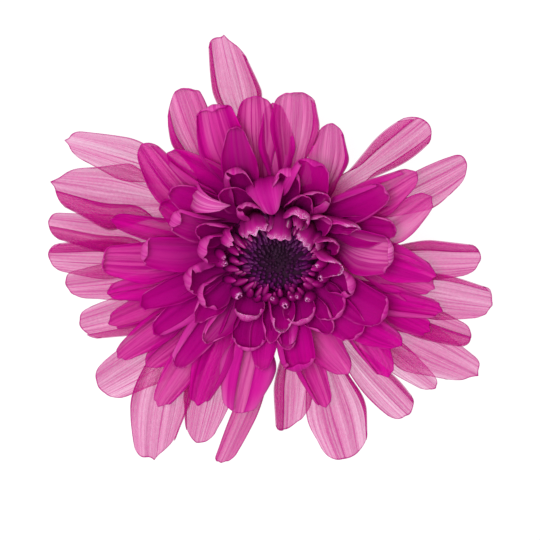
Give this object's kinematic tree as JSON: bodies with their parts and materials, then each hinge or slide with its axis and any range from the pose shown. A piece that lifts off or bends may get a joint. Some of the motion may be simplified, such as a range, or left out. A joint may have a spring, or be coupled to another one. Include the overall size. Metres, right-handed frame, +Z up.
{
  "type": "preserved chrysanthemum bloom",
  "caption": "Open chrysanthemum head with layered magenta ray florets round a dark dimpled disc and a green calyx, cut flush under the head and standing on the cut.",
  "frame": {"origin": "middle of the flat cut under the calyx, on which the head stands", "axes": "+Z up along the head's axis, out of the open face; X and Y lie in the surface that it stands on"},
  "size_m": [0.0906, 0.0958, 0.0255],
  "materials": {
    "ray_florets": "thin translucent petal, magenta inside and paler pink outside, finely veined",
    "disc_florets": "dark purple buds with a soft sheen",
    "calyx": "matte green bracts with papery brown margins and a pale cut"
  },
  "bodies": {
    "root": {"ray_florets": "ray_florets", "disc_florets": "disc_florets", "calyx": "calyx"}
  },
  "joints": []
}
